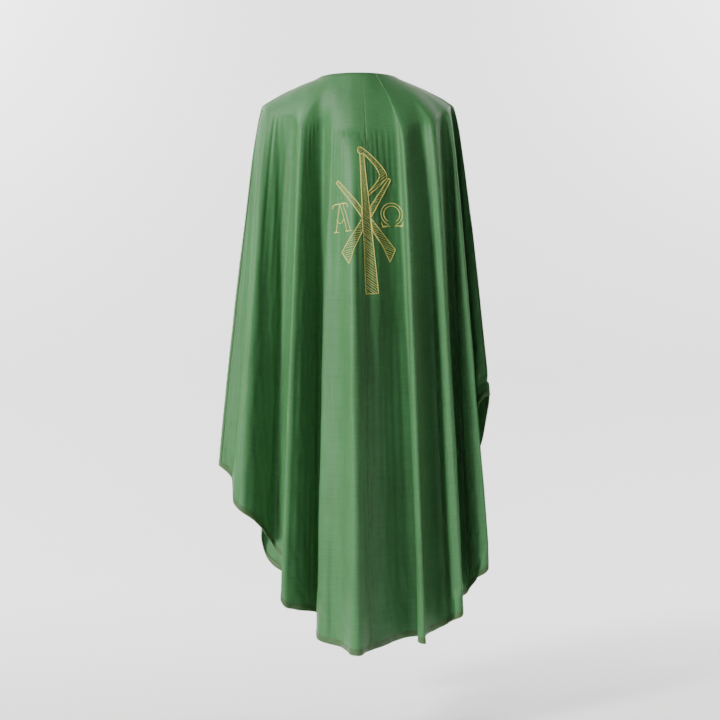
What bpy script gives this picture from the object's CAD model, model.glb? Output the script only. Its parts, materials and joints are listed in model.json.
"""A green chasuble with a gold embroidered back, hanging as it does when it is worn.

Everything is in metres in the row's frame: the origin is in the middle of the neckline at shoulder height,
+Z is up, the wearer faces -Y and the wearer's left is at +X.
"""

import json
import math
import random

import bpy
import numpy as np
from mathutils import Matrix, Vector, noise
from mathutils.bvhtree import BVHTree

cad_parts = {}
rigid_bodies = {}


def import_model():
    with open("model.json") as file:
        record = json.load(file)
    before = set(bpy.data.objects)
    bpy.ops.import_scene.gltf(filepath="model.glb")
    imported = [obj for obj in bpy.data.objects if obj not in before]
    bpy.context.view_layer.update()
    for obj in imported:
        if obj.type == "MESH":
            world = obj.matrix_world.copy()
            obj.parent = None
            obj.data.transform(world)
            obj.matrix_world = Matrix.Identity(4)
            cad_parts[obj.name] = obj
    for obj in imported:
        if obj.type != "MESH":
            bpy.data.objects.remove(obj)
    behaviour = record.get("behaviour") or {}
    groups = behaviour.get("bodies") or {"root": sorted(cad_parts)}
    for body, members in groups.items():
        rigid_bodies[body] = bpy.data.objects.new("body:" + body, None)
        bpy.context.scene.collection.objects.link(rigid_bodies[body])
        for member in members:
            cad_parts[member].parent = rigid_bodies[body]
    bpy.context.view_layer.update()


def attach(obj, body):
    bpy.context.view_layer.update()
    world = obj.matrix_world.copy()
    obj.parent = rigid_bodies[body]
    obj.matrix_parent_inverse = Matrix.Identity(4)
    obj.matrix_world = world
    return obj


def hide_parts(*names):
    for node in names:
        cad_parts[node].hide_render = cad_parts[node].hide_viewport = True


for leftover in list(bpy.data.objects):
    bpy.data.objects.remove(leftover)
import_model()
random.seed(7)

# ---------------------------------------------------------------- the garment's driving dimensions
SHOULDER_HALF_WIDTH = 0.222
CHEST_HALF_DEPTH = 0.115
NECK_HALF_WIDTH = 0.092
NECK_HALF_DEPTH = 0.080
FRONT_NECK_DROP = 0.045
SHOULDER_DROP = 0.065
YOKE_DROP = 0.075
DEEPENING = 0.56  # under 1, the folds gain most of their depth near the top
FANNING = 0.35
CLOTH_THICKNESS = 0.0008
LINING_THICKNESS = 0.0006
BACKING_THICKNESS = 0.0004
HEM_WIDTH = 0.014
FACING_WIDTH = 0.042
ALLOWANCE_HALF_WIDTH = 0.013
ALLOWANCE_TOP = 0.05  # how far below the neckline it starts to show
SLEEVE_SEAM = 0.0046, 0.0036  # a rolled seam's width and height
CENTRE_SEAM = 0.0016, 0.0009
NECK_EDGE = 0.0022, 0.0030
HEM_STITCH = 0.0030, 0.0010, 0.00028  # a stitch's length, the gap after it and the thread's radius
NECK_STITCH = 0.0026, 0.0009, 0.00025

# Each ridge or valley: where it leaves the body (x, y) and where it ends at the hem (x, y, z).
BACK_FOLDS = [
    ((0.222, 0.000), (0.330, 0.020, -0.905)),  # left sleeve edge
    ((0.210, 0.024), (0.298, 0.062, -0.975)),
    ((0.148, 0.056), (0.190, -0.030, -1.100)),
    ((0.128, 0.084), (0.168, 0.108, -1.210)),
    ((0.080, 0.072), (0.094, 0.000, -1.250)),
    ((0.058, 0.098), (0.074, 0.130, -1.290)),
    ((0.012, 0.115), (0.004, 0.235, -1.305)),
    ((-0.086, 0.094), (-0.138, 0.086, -1.288)),
    ((-0.100, 0.102), (-0.156, 0.150, -1.296)),
    ((-0.144, 0.073), (-0.198, 0.034, -1.270)),
    ((-0.170, 0.070), (-0.240, 0.088, -1.240)),
    ((-0.194, 0.043), (-0.262, -0.036, -1.200)),
    ((-0.210, 0.028), (-0.312, 0.046, -1.130)),
    ((-0.217, 0.006), (-0.272, -0.060, -0.980)),
    ((-0.222, 0.000), (-0.326, -0.015, -0.740)),  # right sleeve edge
]
FRONT_FOLDS = [
    ((-0.200, -0.040), (-0.235, -0.100, -0.950)),
    ((-0.175, -0.065), (-0.250, -0.188, -1.120)),
    ((-0.130, -0.090), (-0.145, -0.120, -1.200)),
    ((-0.085, -0.105), (-0.130, -0.250, -1.270)),
    ((-0.010, -0.115), (-0.020, -0.170, -1.270)),  # centre front
    ((0.070, -0.110), (0.090, -0.262, -1.280)),
    ((0.120, -0.095), (0.130, -0.120, -1.220)),
    ((0.170, -0.070), (0.235, -0.188, -1.130)),
    ((0.200, -0.040), (0.235, -0.090, -0.990)),
]
FOLDS = BACK_FOLDS + FRONT_FOLDS
# The seams, counted in folds round the garment from the left sleeve edge.
LEFT_SEAM, BACK_SEAM, RIGHT_SEAM, FRONT_SEAM = 0, 6.3, 14, 19

COLUMNS = 232  # round the garment, in the mesh that is simulated
NECK_ROWS = 12
HANG_ROWS = 84
FINER = 2  # the shown mesh has this many times as many rows and columns


# ---------------------------------------------------------------- the hanging cloth as a grid
def through_folds(table):
    """A closed centripetal Catmull-Rom curve through the folds, and each point's place among them."""
    points, places = [], []
    count = len(table)
    for i in range(count):
        p0, p1, p2, p3 = (table[(i + k) % count] for k in (-1, 0, 1, 2))
        gaps = [max(np.linalg.norm((b - a)[:2]) ** 0.5, 1e-6) for a, b in ((p0, p1), (p1, p2), (p2, p3))]
        t0, t1 = 0.0, gaps[0]
        t2 = t1 + gaps[1]
        t3 = t2 + gaps[2]
        for t in np.linspace(t1, t2, 40, endpoint=False):
            a1 = p0 + (p1 - p0) * (t - t0) / (t1 - t0)
            a2 = p1 + (p2 - p1) * (t - t1) / (t2 - t1)
            a3 = p2 + (p3 - p2) * (t - t2) / (t3 - t2)
            b1 = a1 + (a2 - a1) * (t - t0) / (t2 - t0)
            b2 = a2 + (a3 - a2) * (t - t1) / (t3 - t1)
            points.append(b1 + (b2 - b1) * (t - t1) / (t2 - t1))
            places.append(i + (t - t1) / (t2 - t1))
    points.append(points[0])
    places.append(float(count))
    return np.array(points), np.array(places)


def fold_columns():
    """Evenly spaced columns round the garment, one of them on each seam, and the seams' indices."""
    table = [np.array([*top, *hem]) for top, hem in FOLDS]
    curve, places = through_folds([np.roll(row, 3) for row in table])  # hem x, y, z, then top x, y
    lengths = lengths_along(curve[:, :2])
    stops = np.interp([LEFT_SEAM, BACK_SEAM, RIGHT_SEAM, FRONT_SEAM, len(FOLDS)], places, lengths)
    at, seams = [], []
    for start, end in zip(stops, stops[1:]):
        seams.append(len(at))
        count = round(COLUMNS * (end - start) / lengths[-1])
        at += list(np.linspace(start, end, count, endpoint=False))
    return np.stack([np.interp(at, lengths, curve[:, j]) for j in range(5)], 1), seams


def hanging_cloth(columns):
    """The whole cloth as rows of points, from the neckline over the shoulders to the hem."""
    hem_x, hem_y, hem_z, top_x, top_y = columns.T
    angle = np.arctan2(top_y / CHEST_HALF_DEPTH, top_x / SHOULDER_HALF_WIDTH)
    neck_x, neck_y = NECK_HALF_WIDTH * np.cos(angle), NECK_HALF_DEPTH * np.sin(angle)
    neck_z = np.where(neck_y < 0, -FRONT_NECK_DROP * np.sin(angle) ** 2, 0.0)
    full_x, full_y = SHOULDER_HALF_WIDTH * np.cos(angle), CHEST_HALF_DEPTH * np.sin(angle)
    full_z = -SHOULDER_DROP - YOKE_DROP * np.abs(np.sin(angle)) ** 1.2
    yoke_z = -SHOULDER_DROP - YOKE_DROP * np.abs(top_y / CHEST_HALF_DEPTH) ** 1.2
    rows = []
    for share in np.linspace(0, 1, NECK_ROWS, endpoint=False):
        fall, folding = 0.78 * share + 0.22 * share**3, share**3
        rows.append(
            [
                neck_x + (full_x - neck_x) * share + (top_x - full_x) * folding,
                neck_y + (full_y - neck_y) * share + (top_y - full_y) * folding,
                neck_z + (full_z - neck_z) * fall + (yoke_z - full_z) * folding,
            ]
        )
    for share in np.linspace(0, 1, HANG_ROWS + 1):
        deep = share**DEEPENING
        spread = FANNING * deep + (1 - FANNING) * share
        rows.append(
            [
                top_x + (hem_x - top_x) * spread,
                top_y + (hem_y - top_y) * deep,
                yoke_z + (hem_z - yoke_z) * share,
            ]
        )
    return np.array(rows).transpose(0, 2, 1)


# ---------------------------------------------------------------- small mesh tools
def grid_faces(rows, columns, closed):
    """Quads over a grid of points. The last column joins the first when it is closed."""
    faces = []
    for r in range(rows - 1):
        for c in range(columns if closed else columns - 1):
            upper, lower, after = r * columns, (r + 1) * columns, (c + 1) % columns
            faces.append((upper + c, lower + c, lower + after, upper + after))
    return faces


def piece(name, points, faces, material, nodes=(), uv=None):
    """A shown mesh that rides on the garment and stands for some CAD nodes."""
    mesh = bpy.data.meshes.new(name)
    mesh.from_pydata([tuple(map(float, p)) for p in points], [], faces)
    mesh.update()
    if uv is not None:
        layer = mesh.uv_layers.new(name="UVMap")
        loops = np.zeros(len(mesh.loops), int)
        mesh.loops.foreach_get("vertex_index", loops)
        layer.data.foreach_set("uv", np.asarray(uv, np.float32)[loops].ravel())
    mesh.shade_smooth()
    mesh.materials.append(material)
    made = bpy.data.objects.new(name, mesh)
    bpy.context.scene.collection.objects.link(made)
    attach(made, "root")
    if nodes:
        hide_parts(*nodes)
    return made


def lengths_along(points):
    """How far along a line of points each one comes."""
    return np.concatenate([[0], np.cumsum(np.linalg.norm(np.diff(points, axis=0), axis=1))])


def catmull_rom(a, b, c, d, t):
    """The point at share t of the way from b to c, on the smooth curve through all four."""
    square = (2 * a - 5 * b + 4 * c - d) * t**2
    cube = (3 * b - a - 3 * c + d) * t**3
    return 0.5 * (2 * b + (c - a) * t + square + cube)


def unit(vectors):
    return vectors / np.maximum(np.linalg.norm(vectors, axis=-1, keepdims=True), 1e-9)


def grid_normals(grid):
    """Outward normals of a closed grid of points."""
    down = np.gradient(grid, axis=0)
    around = (np.roll(grid, -1, 1) - np.roll(grid, 1, 1)) / 2
    return unit(np.cross(down, around))


def refined(grid, factor):
    """The closed grid with that many times the rows and columns, through the same points (Catmull-Rom)."""

    def along_rows(values):
        padded = np.concatenate([2 * values[:1] - values[1:2], values, 2 * values[-1:] - values[-2:-1]])
        out = []
        for i in range(len(values) - 1):
            four = padded[i : i + 4]
            for t in np.arange(factor) / factor:
                out.append(catmull_rom(*four, t))
        out.append(values[-1])
        return np.array(out)

    finer = along_rows(grid)
    wrapped = np.concatenate([finer[:, -2:], finer, finer[:, :3]], 1).transpose(1, 0, 2)
    wide = along_rows(wrapped)[2 * factor : 2 * factor + grid.shape[1] * factor]
    return wide.transpose(1, 0, 2)


def sampled(grid, row, column):
    """Points of the closed grid at fractional rows and columns."""
    row, column = np.broadcast_arrays(np.asarray(row, float), np.asarray(column, float))
    row = np.clip(row, 0, grid.shape[0] - 1.001)
    r, c = np.floor(row).astype(int), np.floor(column).astype(int)
    fr, fc = (row - r)[..., None], (column - c)[..., None]
    c, c2 = c % grid.shape[1], (c + 1) % grid.shape[1]
    upper = grid[r, c] * (1 - fc) + grid[r, c2] * fc
    lower = grid[r + 1, c] * (1 - fc) + grid[r + 1, c2] * fc
    return upper * (1 - fr) + lower * fr


# ---------------------------------------------------------------- materials
WAVES_PER_METRE = 3.2  # of Blender's wave texture at scale 1


class Nodes:
    """Short ways to add shader nodes."""

    def __init__(self, name):
        self.material = bpy.data.materials.new(name)
        self.material.use_nodes = True
        self.tree = self.material.node_tree
        self.shader = self.tree.nodes["Principled BSDF"]

    def add(self, kind, inputs=(), **settings):
        node = self.tree.nodes.new(kind)
        for key, value in settings.items():
            setattr(node, key, value)
        for key, value in dict(inputs).items():
            self.put(node.inputs[key], value)
        return node

    def put(self, socket, value):
        if isinstance(value, bpy.types.NodeSocket):
            self.tree.links.new(value, socket)
        else:
            socket.default_value = value

    def maths(self, operation, a, b=0.0):
        return self.add("ShaderNodeMath", {0: a, 1: b}, operation=operation).outputs[0]

    def ramp(self, factor, *stops):
        node = self.add("ShaderNodeValToRGB", {0: factor})
        elements = node.color_ramp.elements
        while len(elements) < len(stops):
            elements.new(0.5)
        for element, (position, color) in zip(elements, stops):
            element.position, element.color = position, (*color, 1)
        return node.outputs[0]

    def bump(self, height, strength, distance, normal=None):
        inputs = {"Height": height, "Strength": strength, "Distance": distance}
        if normal is not None:
            inputs["Normal"] = normal
        return self.add("ShaderNodeBump", inputs).outputs[0]


def woven(name, dark, light, sheen=0.14, roughness=0.55):
    """Fine plain weave whose yarns run along the UV axes, which are in metres."""
    n = Nodes(name)
    uv = n.add("ShaderNodeTexCoord").outputs["UV"]
    warp = n.add("ShaderNodeTexWave", {"Vector": uv, "Scale": 330.0}, bands_direction="X").outputs["Fac"]
    weft = n.add("ShaderNodeTexWave", {"Vector": uv, "Scale": 330.0}, bands_direction="Y").outputs["Fac"]
    weave = n.maths("MULTIPLY", n.maths("ADD", warp, weft), 0.5)
    streaks = []
    for stretch in ((900, 14, 1), (14, 900, 1)):
        stretched = n.add("ShaderNodeMapping", {"Vector": uv, "Scale": stretch}).outputs[0]
        streak = n.add("ShaderNodeTexNoise", {"Vector": stretched, "Scale": 1.0, "Detail": 2.0})
        streaks.append(streak.outputs["Fac"])
    slubs = n.maths("MULTIPLY", n.maths("ADD", *streaks), 0.5)
    place = n.add("ShaderNodeTexCoord").outputs["Object"]
    shading = n.add("ShaderNodeTexNoise", {"Vector": place, "Scale": 5.0, "Detail": 3.0}).outputs["Fac"]
    tone = n.maths("ADD", n.maths("MULTIPLY", slubs, 0.75), n.maths("MULTIPLY", shading, 0.25))
    n.put(n.shader.inputs["Base Color"], n.ramp(tone, (0.36, dark), (0.62, light)))
    rough = n.maths("ADD", n.maths("MULTIPLY", slubs, 0.2), roughness - 0.1)
    n.put(n.shader.inputs["Roughness"], rough)
    n.put(n.shader.inputs["Specular IOR Level"], 0.35)
    n.put(n.shader.inputs["Sheen Weight"], sheen)
    n.put(n.shader.inputs["Sheen Roughness"], 0.35)
    n.put(n.shader.inputs["Sheen Tint"], (0.62, 0.55, 0.30, 1))
    crinkle = n.add("ShaderNodeTexNoise", {"Vector": place, "Scale": 42.0, "Detail": 3.0}).outputs["Fac"]
    soft = n.bump(crinkle, 0.25, 0.0015)
    n.put(n.shader.inputs["Normal"], n.bump(weave, 0.3, 0.0002, soft))
    return n.material


def gold_thread(name, spacing, dark, light):
    """Satin stitches laid side by side across a band. V runs along the band in metres."""
    n = Nodes(name)
    uv = n.add("ShaderNodeTexCoord").outputs["UV"]
    waves = {"Vector": uv, "Scale": 1 / spacing / WAVES_PER_METRE, "Distortion": 0.6, "Detail": 1.0}
    strands = n.add("ShaderNodeTexWave", waves, bands_direction="Y").outputs["Fac"]
    place = n.add("ShaderNodeTexCoord").outputs["Object"]
    patches = n.add("ShaderNodeTexNoise", {"Vector": place, "Scale": 90.0, "Detail": 3.0}).outputs["Fac"]
    tone = n.maths("ADD", n.maths("MULTIPLY", strands, 0.55), n.maths("MULTIPLY", patches, 0.45))
    n.put(n.shader.inputs["Base Color"], n.ramp(tone, (0.25, dark), (0.75, light)))
    n.put(n.shader.inputs["Roughness"], 0.38)
    n.put(n.shader.inputs["Metallic"], 0.15)
    n.put(n.shader.inputs["Specular IOR Level"], 0.6)
    n.put(n.shader.inputs["Sheen Weight"], 0.15)
    n.put(n.shader.inputs["Normal"], n.bump(strands, 0.6, 0.0003))
    return n.material


DARK_GREEN, LIGHT_GREEN = (0.040, 0.130, 0.044), (0.066, 0.215, 0.078)
cloth = woven("green_cloth", DARK_GREEN, LIGHT_GREEN)
hem_cloth = woven("hem_cloth", (0.046, 0.10, 0.036), (0.072, 0.15, 0.056))
seam_cloth = woven("seam_cloth", (0.042, 0.11, 0.04), (0.068, 0.165, 0.062))
facing_cloth = woven("facing_cloth", (0.046, 0.12, 0.045), (0.072, 0.18, 0.07), sheen=0.2, roughness=0.7)
backing_cloth = woven("backing_cloth", (0.45, 0.44, 0.4), (0.62, 0.6, 0.55), sheen=0.1, roughness=0.85)
green_thread = gold_thread("green_thread", 0.0004, (0.012, 0.05, 0.016), (0.03, 0.1, 0.035))
gold_satin = gold_thread("gold_satin", 0.00045, (0.70, 0.57, 0.07), (1.0, 0.94, 0.28))
gold_hatch = gold_thread("gold_hatching", 0.0005, (0.64, 0.53, 0.07), (1.0, 0.90, 0.26))

# ---------------------------------------------------------------- the cloth itself
columns, seams = fold_columns()
cloth_grid = hanging_cloth(columns)

# ---------------------------------------------------------------- how it settles on the wearer
SETTLING_FRAMES = 40
PINNED_ROWS = NECK_ROWS + 1  # lying on the neck and shoulders
GRIP_ROWS = 30  # over these the hold of the body fades away
LEAST_GRIP = 0.06


def blurred(grid, reach):
    """The grid averaged over that many neighbouring rows and columns, twice."""
    for _ in range(2):
        around = sum(np.roll(grid, k, 1) for k in range(-reach, reach + 1)) / (2 * reach + 1)
        padded = np.concatenate([around[:1]] * reach + [around] + [around[-1:]] * reach)
        grid = sum(padded[k : k + len(grid)] for k in range(2 * reach + 1)) / (2 * reach + 1)
    return grid


def settled(grid):
    """The cloth after it has settled under its own weight on the wearer's shoulders."""
    rows, count, _ = grid.shape
    mesh = bpy.data.meshes.new("settling")
    mesh.from_pydata(grid.reshape(-1, 3).tolist(), [], grid_faces(rows, count, True))
    mesh.update()
    draped = bpy.data.objects.new("settling", mesh)
    bpy.context.scene.collection.objects.link(draped)

    held = draped.vertex_groups.new(name="held")
    for row in range(rows):
        slipped = min((row - PINNED_ROWS) / GRIP_ROWS, 1)
        grip = 1.0 if row < PINNED_ROWS else max(LEAST_GRIP, 0.6 * (1 - slipped) ** 2)
        held.add(list(range(row * count, (row + 1) * count)), grip, "REPLACE")
    cloth_physics = draped.modifiers.new("Cloth", "CLOTH")
    physics = cloth_physics.settings
    physics.quality = 6
    physics.mass = 0.12
    physics.air_damping = 2.0
    physics.tension_stiffness = physics.compression_stiffness = 25
    physics.shear_stiffness = 8
    physics.bending_stiffness = 0.25
    physics.tension_damping = physics.compression_damping = physics.shear_damping = 10
    physics.bending_damping = 1.0
    physics.shrink_min = -0.012
    physics.vertex_group_mass = "held"
    physics.pin_stiffness = 0.6
    cloth_physics.collision_settings.use_collision = False
    cloth_physics.collision_settings.use_self_collision = False
    cloth_physics.point_cache.frame_end = SETTLING_FRAMES
    for moment in range(1, SETTLING_FRAMES + 1):
        bpy.context.scene.frame_set(moment)
    shaped = draped.evaluated_get(bpy.context.evaluated_depsgraph_get()).data
    points = np.zeros(rows * count * 3)
    shaped.vertices.foreach_get("co", points)
    bpy.data.objects.remove(draped)
    bpy.context.scene.frame_set(1)
    return points.reshape(grid.shape)


KEPT_SAG = 0.25  # how much of the wide sag shows; all the small wrinkles do
moved = settled(cloth_grid) - cloth_grid
sag = blurred(moved, 6)
cloth_grid = cloth_grid + (moved - sag) + KEPT_SAG * sag

# ---------------------------------------------------------------- fine shape
cloth_grid = refined(cloth_grid, FINER)
seams = [FINER * s for s in seams]
ROWS, ROUND = cloth_grid.shape[:2]
YOKE_ROW = FINER * NECK_ROWS


UPRIGHT_WAVES = 0.0024  # heights of the uneven waves and of the puckers beside the seams
SMALL_WAVES = 0.0007
PUCKERS = 0.0007


def wrinkled(grid):
    """The grid with the small uneven waves of thin cloth: upright ones below, puckers at the seams."""
    normals = grid_normals(grid)
    out = grid.copy()
    for r in range(ROWS):
        low = max(0.0, (r - YOKE_ROW) / (ROWS - YOKE_ROW))
        for c in range(ROUND):
            p = grid[r, c]
            upright = noise.noise(Vector((p[0] * 16, p[1] * 16, p[2] * 2.2)))
            small = noise.noise(Vector((p[0] * 38, p[1] * 38, p[2] * 11 + 5)))
            height = UPRIGHT_WAVES * upright * (0.35 + low) + SMALL_WAVES * small
            out[r, c] = p + normals[r, c] * height * min(1.0, r / 6)
    for seam in seams:
        for r in range(3, ROWS):
            pucker = PUCKERS * math.sin(r * 1.9 + 2 * math.sin(r * 0.23))
            for offset, share in ((-2, 0.4), (-1, 1.0), (1, 1.0), (2, 0.4)):
                c = (seam + offset) % ROUND
                out[r, c] = out[r, c] + normals[r, c] * pucker * share
    return out


cloth_grid = wrinkled(cloth_grid)
normals_grid = grid_normals(cloth_grid)
# Distances along the cloth: from each point to the next one round it, from the neckline and to the hem.
across = np.linalg.norm(np.roll(cloth_grid, -1, 1) - cloth_grid, axis=2)
downwards = np.linalg.norm(np.diff(cloth_grid, axis=0), axis=2)
depth = np.concatenate([np.zeros((1, ROUND)), np.cumsum(downwards, 0)])
to_hem = depth[-1] - depth


def on_cloth(row, column, lift=0.0):
    """Points at fractional places on the cloth, lifted along its outward normal."""
    outward = unit(sampled(normals_grid, row, column))
    return sampled(cloth_grid, row, column) + np.asarray(lift)[..., None] * outward


def rows_above_hem(distance, column):
    """The fractional row at which each column is that far above its hem."""
    return np.array([np.interp(-distance, -to_hem[:, int(c) % ROUND], np.arange(ROWS)) for c in column])


def strip_uv(points):
    """UVs in metres along and down a grid of points."""
    along = np.linalg.norm(np.diff(points, axis=1), axis=2).mean(0)
    down = np.linalg.norm(np.diff(points, axis=0), axis=2).mean(1)
    u, v = np.concatenate([[0], np.cumsum(along)]), np.concatenate([[0], -np.cumsum(down)])
    return np.stack(np.meshgrid(u, v), -1).reshape(-1, 2)


def strip(name, points, material, nodes=()):
    """A piece from a grid of points."""
    faces = grid_faces(*points.shape[:2], False)
    return piece(name, points.reshape(-1, 3), faces, material, nodes, strip_uv(points))


def thickened(made, thickness):
    """The sheet with that thickness, half of it to each side."""
    solid = made.modifiers.new("Thickness", "SOLIDIFY")
    solid.thickness, solid.offset = thickness, 0
    return made


# ---------------------------------------------------------------- panels
# name: first and last seam, then the flat cut's width and length, then its area
CUTS = {
    "back_left": (0, 1, (0.86, 1.36), 0.69),
    "back_right": (1, 2, (0.86, 1.36), 0.70),
    "front_right": (2, 3, (0.66, 1.33), 0.49),
    "front_left": (3, 4, (0.70, 1.33), 0.54),
}
bounds = seams + [ROUND]
PANELS = {name: (bounds[first], bounds[last], flat, area) for name, (first, last, flat, area) in CUTS.items()}
for name, (start, end, flat, area) in PANELS.items():
    shown = np.arange(start, end + 1) % ROUND
    points = cloth_grid[:, shown]
    u = lengths_along(points[ROWS // 2])
    uv = np.stack([np.broadcast_to(u, depth[:, shown].shape), -depth[:, shown]], -1).reshape(-1, 2)
    faces = grid_faces(ROWS, len(shown), False)
    made = piece(f"{name}_cloth", points.reshape(-1, 3), faces, cloth, [f"{name}_panel"], uv)
    thickened(made, CLOTH_THICKNESS)

# ---------------------------------------------------------------- hems
# A roll of three layers round the bottom edge.
HEM_PROFILE = [  # distance above the edge and height off the cloth, once round the turned-up hem
    (HEM_WIDTH, 0.0007),
    (0.010, 0.0010),
    (0.004, 0.0011),
    (0.0008, 0.0010),
    (-0.0006, 0.0003),
    (-0.0008, -0.0006),
    (0.0006, -0.0017),
    (0.004, -0.0019),
    (0.010, -0.0018),
    (HEM_WIDTH, -0.0014),
]
for name, (start, end, flat, area) in PANELS.items():
    at = np.arange(start, end + 1)
    ring = []
    for above, height in HEM_PROFILE:
        edge = rows_above_hem(max(above, 0), at)
        points = on_cloth(edge, at, np.full(len(at), height))
        if above < 0:
            fall = unit(cloth_grid[-1, at % ROUND] - cloth_grid[-3, at % ROUND])
            points = points - above * fall
        ring.append(points)
    ring.append(ring[0])
    strip(f"{name}_turned_hem", np.array(ring), hem_cloth, [f"{name}_hem"])

# ---------------------------------------------------------------- seams, facings and allowances
def swept(name, path, normal, width, height, material, slot, nodes=(), sides=8):
    """A flattened tube along a path that lies on the cloth."""
    path, normal = np.asarray(path), unit(np.asarray(normal))
    side = unit(np.cross(np.gradient(path, axis=0), normal))
    turns = np.linspace(0, 2 * math.pi, sides + 1)
    ring = [path + side * width / 2 * math.cos(t) + normal * height / 2 * math.sin(t) for t in turns]
    points = np.array(ring).transpose(1, 0, 2)
    uv = np.stack(np.meshgrid(np.arange(sides + 1) * width / sides, lengths_along(path)), -1)
    faces = grid_faces(len(path), sides + 1, False)
    return piece(name, points.reshape(-1, 3), faces, material, nodes, uv.reshape(-1, 2))


down_rows = np.arange(ROWS)
for name, seam in (("left", seams[0]), ("right", seams[2])):
    path = on_cloth(down_rows, np.full(ROWS, seam), np.full(ROWS, -CLOTH_THICKNESS / 2))
    made, stands_for = f"{name}_shoulder_and_sleeve_seam", [f"shoulder_seam_{name}"]
    swept(made, path, np.tile([0.0, 1.0, 0.0], (ROWS, 1)), *SLEEVE_SEAM, seam_cloth, "seam", stands_for)
for name, seam in (("back", seams[1]), ("front", seams[3])):
    path = on_cloth(down_rows, np.full(ROWS, seam), np.full(ROWS, 0.0002))
    swept(f"centre_{name}_seam", path, normals_grid[:, seam], *CENTRE_SEAM, seam_cloth, "seam")

for name, seam, nodes in (
    ("back", seams[1], ["back_seam_allowance_upper", "back_seam_allowance_lower"]),
    ("front", seams[3], ["front_seam_allowance"]),
):
    used = np.arange(int(np.searchsorted(depth[:, seam], ALLOWANCE_TOP)), ROWS - 4)
    reach = ALLOWANCE_HALF_WIDTH / across[used, seam]
    offsets = np.linspace(-1, 1, 7)
    at = seam + reach[:, None] * offsets
    points = on_cloth(np.broadcast_to(used[:, None], at.shape), at, np.full(at.shape, -0.0011))
    made = strip(f"centre_{name}_seam_allowance", points, seam_cloth, nodes)
    thickened(made, LINING_THICKNESS)

for name, start, end in (("back", seams[0], seams[2]), ("front", seams[2], ROUND)):
    at = np.arange(start, end + 1)
    levels = np.linspace(0.0008, FACING_WIDTH, 8)
    points = []
    for level in levels:
        row = np.array([np.interp(level, depth[:, c % ROUND], np.arange(ROWS)) for c in at])
        points.append(on_cloth(row, at, np.full(len(at), -0.0012)))
    made = strip(f"{name}_neck_facing", np.array(points), facing_cloth, [f"neck_facing_{name}"])
    thickened(made, LINING_THICKNESS)

neck = np.append(np.arange(ROUND), 0)
neck_normals = normals_grid[0, neck]
neckline = cloth_grid[0, neck] - CLOTH_THICKNESS / 2 * neck_normals
swept("neckline_edge", neckline, neck_normals, *NECK_EDGE, seam_cloth, "seam")


# ---------------------------------------------------------------- stitches
def stitches(name, path, normal, length, gap, radius, material, slot):
    """A row of short raised stitches along a path on the cloth."""
    path = np.asarray(path)
    along = lengths_along(path)
    starts = np.arange(0, along[-1] - length, length + gap)
    points, faces, uv = [], [], []
    profile = ((0.0, 0.25, -0.3), (0.2, 0.9, 0.35), (0.5, 1.0, 0.6), (0.8, 0.9, 0.35), (1.0, 0.25, -0.3))
    for s in starts:
        base = len(points)
        for share, size, lift in profile:
            at = s + share * length
            centre = np.array([np.interp(at, along, path[:, k]) for k in range(3)])
            out = unit(np.array([np.interp(at, along, normal[:, k]) for k in range(3)]))
            ahead = np.array([np.interp(at + 0.0005, along, path[:, k]) for k in range(3)]) - centre
            side = unit(np.cross(ahead, out))
            for turn in range(5):
                a = 2 * math.pi * turn / 5
                beside, above = math.cos(a) * size, math.sin(a) * size + lift
                points.append(centre + radius * (side * beside + out * above))
                uv.append((turn * 0.0003, at))
        for ring in range(len(profile) - 1):
            for turn in range(5):
                a, b = base + ring * 5 + turn, base + ring * 5 + (turn + 1) % 5
                faces.append((a, a + 5, b + 5, b))
        faces.append(tuple(base + k for k in range(5)))
        faces.append(tuple(base + 5 * (len(profile) - 1) + k for k in reversed(range(5))))
    return piece(name, points, faces, material, uv=uv)


for name, (start, end, flat, area) in PANELS.items():
    at = np.arange(start, end + 1)
    rows = rows_above_hem(HEM_WIDTH * 0.86, at)
    path = on_cloth(rows, at, np.full(len(at), 0.0011))
    normal = unit(sampled(normals_grid, rows, at))
    stitches(f"{name}_hem_stitching", path, normal, *HEM_STITCH, green_thread, "hem")
rows = np.array([np.interp(0.006, depth[:, c % ROUND], np.arange(ROWS)) for c in neck])
path = on_cloth(rows, neck, np.full(len(neck), 0.0006))
normal = unit(sampled(normals_grid, rows, neck))
stitches("neckline_stitching", path, normal, *NECK_STITCH, green_thread, "seam")

# ---------------------------------------------------------------- embroidery
# A Chi-Rho between Alpha and Omega.
MOTIF_X, MOTIF_Z = -0.0195, -0.340  # where its strokes cross
MOTIF_LEAN = math.radians(4.3)  # its foot towards the wearer's right
SATIN_WIDTH = 0.0016
SATIN_HEIGHT = 0.0010
HATCH_SPACING = 0.0048
HATCH_ANGLE = math.radians(-38)
HATCH_RADIUS = 0.0005

outer_face = BVHTree.FromPolygons(
    [tuple(p) for p in cloth_grid[:, seams[0] : seams[2] + 1].reshape(-1, 3)],
    grid_faces(ROWS, seams[2] - seams[0] + 1, False),
)


def on_back(u, v):
    """The point and normal of the back at motif coordinates in metres: u towards the wearer's right, v up."""
    x = MOTIF_X - u * math.cos(MOTIF_LEAN) + v * math.sin(MOTIF_LEAN)
    z = MOTIF_Z + u * math.sin(MOTIF_LEAN) + v * math.cos(MOTIF_LEAN)
    place, normal, _, _ = outer_face.ray_cast(Vector((x, 1, z)), Vector((0, -1, 0)))
    if normal.y < 0:
        normal = -normal
    return np.array(place), np.array(normal)


def evened(corners, step=0.0022):
    """A polyline's points, at even steps in motif coordinates."""
    corners = np.asarray(corners, float)
    along = lengths_along(corners)
    at = np.linspace(0, along[-1], max(3, round(along[-1] / step)))
    return np.stack([np.interp(at, along, corners[:, k]) for k in (0, 1)], 1)


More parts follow.
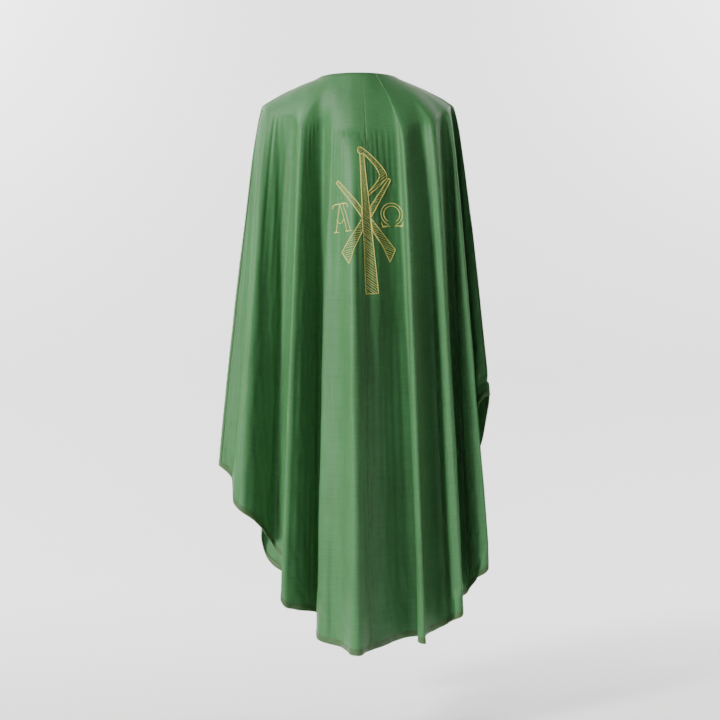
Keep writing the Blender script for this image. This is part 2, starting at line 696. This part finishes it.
def curved(points, count=12):
    """An open Catmull-Rom curve through the points."""
    p = np.asarray(points, float)
    p = np.concatenate([2 * p[:1] - p[1:2], p, 2 * p[-1:] - p[-2:-1]])
    out = []
    for i in range(len(p) - 3):
        for t in np.linspace(0, 1, count, endpoint=False):
            out.append(catmull_rom(*p[i : i + 4], t))
    out.append(p[-2])
    return np.array(out)


class Threads:
    """Bands of thread on the back, gathered into one mesh."""

    def __init__(self):
        self.points, self.faces, self.uv = [], [], []

    def band(self, line, width, height, sides=6):
        """A rounded band along a line in motif coordinates. width is one value or one for each point."""
        found = [on_back(u, v) for u, v in line]
        path = np.array([f[0] for f in found])
        normal = unit(np.array([f[1] for f in found]))
        side = unit(np.cross(np.gradient(path, axis=0), normal))
        along = lengths_along(path)
        width = np.broadcast_to(width, len(path))
        base = len(self.points)
        for i in range(len(path)):
            for k in range(sides + 1):
                a = math.pi * k / sides
                up = math.sin(a) ** 0.7 if 0 < k < sides else -0.25
                beside = width[i] / 2 * math.cos(a)
                above = height * up + CLOTH_THICKNESS / 2
                self.points.append(path[i] + side[i] * beside + normal[i] * above)
                self.uv.append((beside, along[i]))
        for i in range(len(path) - 1):
            for k in range(sides):
                a = base + i * (sides + 1) + k
                self.faces.append((a, a + 1, a + sides + 2, a + sides + 1))
        self.faces.append(tuple(base + k for k in reversed(range(sides + 1))))
        last = base + (len(path) - 1) * (sides + 1)
        self.faces.append(tuple(last + k for k in range(sides + 1)))

    def made(self, name, material, slot, nodes=()):
        return piece(name, self.points, self.faces, material, nodes, self.uv)


def hatching(outline, angle, spacing=HATCH_SPACING):
    """The slanted lines of thread that cross a closed outline."""
    direction = np.array([math.cos(angle), math.sin(angle)])
    away = np.array([-direction[1], direction[0]])
    heights = outline @ away
    lines = []
    for height in np.arange(heights.min() + spacing / 2, heights.max(), spacing):
        height += random.uniform(-0.15, 0.15) * spacing
        cuts = []
        for a, b in zip(outline, np.roll(outline, -1, 0)):
            ha, hb = a @ away - height, b @ away - height
            if (ha > 0) != (hb > 0):
                cuts.append(float((a + (b - a) * ha / (ha - hb)) @ direction))
        for start, end in zip(sorted(cuts)[::2], sorted(cuts)[1::2]):
            if end - start > 0.002:
                lines.append([direction * start + away * height, direction * end + away * height])
    return lines


def outlined(name, outline, nodes, angle=HATCH_ANGLE):
    """A shape with a satin-stitched outline and open hatching inside."""
    outline = np.asarray(outline, float)
    closed = np.concatenate([outline, outline[:1]])
    border = Threads()
    border.band(evened(closed), SATIN_WIDTH, SATIN_HEIGHT)
    border.made(f"{name}_satin_outline", gold_satin, "gold_satin", [f"{nodes}_outline"])
    field = Threads()
    for line in hatching(outline, angle):
        field.band(evened(line, 0.004), 2 * HATCH_RADIUS, HATCH_RADIUS * 1.5, sides=3)
    field.made(f"{name}_hatched_field", gold_hatch, "gold_hatching", [f"{nodes}_hatching"])


MM = 0.001
STAFF = np.array([(-4.2, 148), (4.2, 147), (14.4, -171), (-14.4, -171)]) * MM
UPPER_ARM = np.array([(57, 91), (62, 86), (10, 1), (9.4, 24)]) * MM
LOWER_ARM = np.array([(10, -1), (61, -73), (46, -101), (33, -67), (11.4, -29)]) * MM
hollow = curved([(8, 59), (25, 76), (36, 96), (28, 118), (4.5, 147)])
rim = curved([(-4.5, 148), (-9, 155), (0, 162), (35, 128), (53, 98), (41, 79), (8, 51)])
BOWL = np.concatenate([hollow, rim]) * MM
ACROSS = np.array([-1, 1])
outlined("rho_staff", STAFF, "staff")
outlined("rho_bowl", BOWL, "bowl", math.radians(35))
outlined("chi_upper_right_arm", UPPER_ARM, "arm_upper_right", math.radians(-20))
outlined("chi_upper_left_arm", UPPER_ARM * ACROSS, "arm_upper_left", math.radians(30))
outlined("chi_lower_right_arm", LOWER_ARM, "arm_lower_right", math.radians(-22))
outlined("chi_lower_left_arm", LOWER_ARM * ACROSS, "arm_lower_left", math.radians(8))


def letter(name, lines, feet, node):
    """A letter of satin lines, with feet that swell towards one end."""
    threads = Threads()
    for line, width in lines:
        threads.band(evened(np.array(line) * MM), width * MM, SATIN_HEIGHT)
    for line, start, end in feet:
        points = evened(np.array(line) * MM)
        threads.band(points, np.linspace(start, end, len(points)) * MM, SATIN_HEIGHT)
    return threads.made(f"{name}_satin", gold_satin, "gold_satin", [node])


letter(
    "alpha",
    [
        (curved([(-58, 35), (-64, 6), (-70, -25)]), 1.8),
        (curved([(-57, 35), (-51, 8), (-46.5, -25)]), 1.5),
        (curved([(-50, 35), (-44, 8), (-38, -25)]), 1.5),
        (curved([(-67, 2), (-63, -5), (-59, -7), (-55, -5), (-51, 2)]), 1.5),
        (curved([(-75, 28), (-73, 35), (-66, 37.5), (-58, 37), (-50, 37.5), (-42, 35), (-40, 28)]), 2.2),
    ],
    [
        ([(-76, -27.5), (-70, -25)], 0.8, 3.2),
        ([(-63, -27.5), (-70, -25)], 0.8, 3.2),
        ([(-49, -26.5), (-33, -27)], 2.4, 1.0),
    ],
    "alpha",
)
OMEGA_CENTRE, OMEGA_OUTER, OMEGA_INNER = (58.5, 8.5), 25.2, 18.6
rings = []
for radius, open_to in ((OMEGA_OUTER, -68), (OMEGA_INNER, -60)):
    turn = np.radians(np.linspace(open_to, 180 - open_to, 60))
    ring = np.stack([OMEGA_CENTRE[0] + radius * np.cos(turn), OMEGA_CENTRE[1] + radius * np.sin(turn)], 1)
    rings.append((ring, 1.6))
letter(
    "omega",
    rings,
    [
        ([(34, -19.5), (53, -18.5)], 4.2, 1.6),
        ([(83, -19.5), (64, -18.5)], 4.2, 1.6),
        ([(35, -18), (32.5, -9)], 2.6, 0.6),
        ([(82, -18), (84.5, -9)], 2.6, 0.6),
    ],
    "omega",
)

BACKING_TOP, BACKING_BOTTOM = 0.176, -0.186
BACKING_RIGHT, BACKING_LEFT = 0.068, -0.088
behind = []
for v in np.linspace(BACKING_TOP, BACKING_BOTTOM, 60):
    row = [on_back(u, v) for u in np.linspace(BACKING_RIGHT, BACKING_LEFT, 30)]
    behind.append([place - np.array([0, 0.0022 / max(normal[1], 0.4), 0]) for place, normal in row])
made = strip("embroidery_backing_sheet", np.array(behind), backing_cloth, ["embroidery_backing"])
backing = thickened(made, BACKING_THICKNESS)

# ---------------------------------------------------------------- stage
def plain(name, color):
    n = Nodes(name)
    n.put(n.shader.inputs["Base Color"], (*color, 1))
    n.put(n.shader.inputs["Roughness"], 0.8)
    return n.material


FLOOR_Z = -1.53
floor_mesh = bpy.data.meshes.new("floor")
sweep = [(6.0, FLOOR_Z)] + [
    (-2.2 - 0.8 * math.sin(a), FLOOR_Z + 0.8 - 0.8 * math.cos(a)) for a in np.linspace(0, math.pi / 2, 16)
] + [(-3.0, 5.0)]
floor_points = [(x, y, z) for y, z in sweep for x in (-6.0, 6.0)]
floor_faces = [(2 * i, 2 * i + 1, 2 * i + 3, 2 * i + 2) for i in range(len(sweep) - 1)]
floor_mesh.from_pydata(floor_points, [], floor_faces)
floor_mesh.shade_smooth()
floor_mesh.materials.append(plain("pale_floor", (0.92, 0.92, 0.92)))
floor = bpy.data.objects.new("floor", floor_mesh)
bpy.context.scene.collection.objects.link(floor)


def lamp(name, place, target, size, power, color=(1, 1, 1)):
    light = bpy.data.lights.new(name, "AREA")
    light.size, light.energy, light.color = size, power, color
    made = bpy.data.objects.new(name, light)
    made.location = place
    made.rotation_euler = (Vector(target) - Vector(place)).to_track_quat("-Z", "Y").to_euler()
    bpy.context.scene.collection.objects.link(made)


lamp("key", (2.9, 2.9, 1.2), (0, 0, -0.6), 0.8, 290, (1.0, 1.0, 0.97))
lamp("warm_fill", (-3.2, 1.6, -0.3), (0, 0, -0.7), 1.6, 4, (1.0, 0.72, 0.42))
lamp("backdrop_left", (2.4, -1.5, 1.6), (1.3, -3.0, -0.5), 1.4, 170)
lamp("backdrop_right", (-2.4, -1.5, 1.6), (-1.3, -3.0, -0.5), 1.4, 170)

world = bpy.data.worlds.new("studio")
bpy.context.scene.world = world
world.use_nodes = True
world.node_tree.nodes["Background"].inputs["Color"].default_value = (0.85, 0.92, 1.0, 1)
world.node_tree.nodes["Background"].inputs["Strength"].default_value = 0.03

camera = bpy.data.objects.new("camera", bpy.data.cameras.new("camera"))
camera.location = (-0.0047, 3.6, -0.66)
camera.rotation_euler = (math.pi / 2, 0, math.pi)
camera.data.lens, camera.data.sensor_width = 76.6, 36
bpy.context.scene.collection.objects.link(camera)
bpy.context.scene.camera = camera
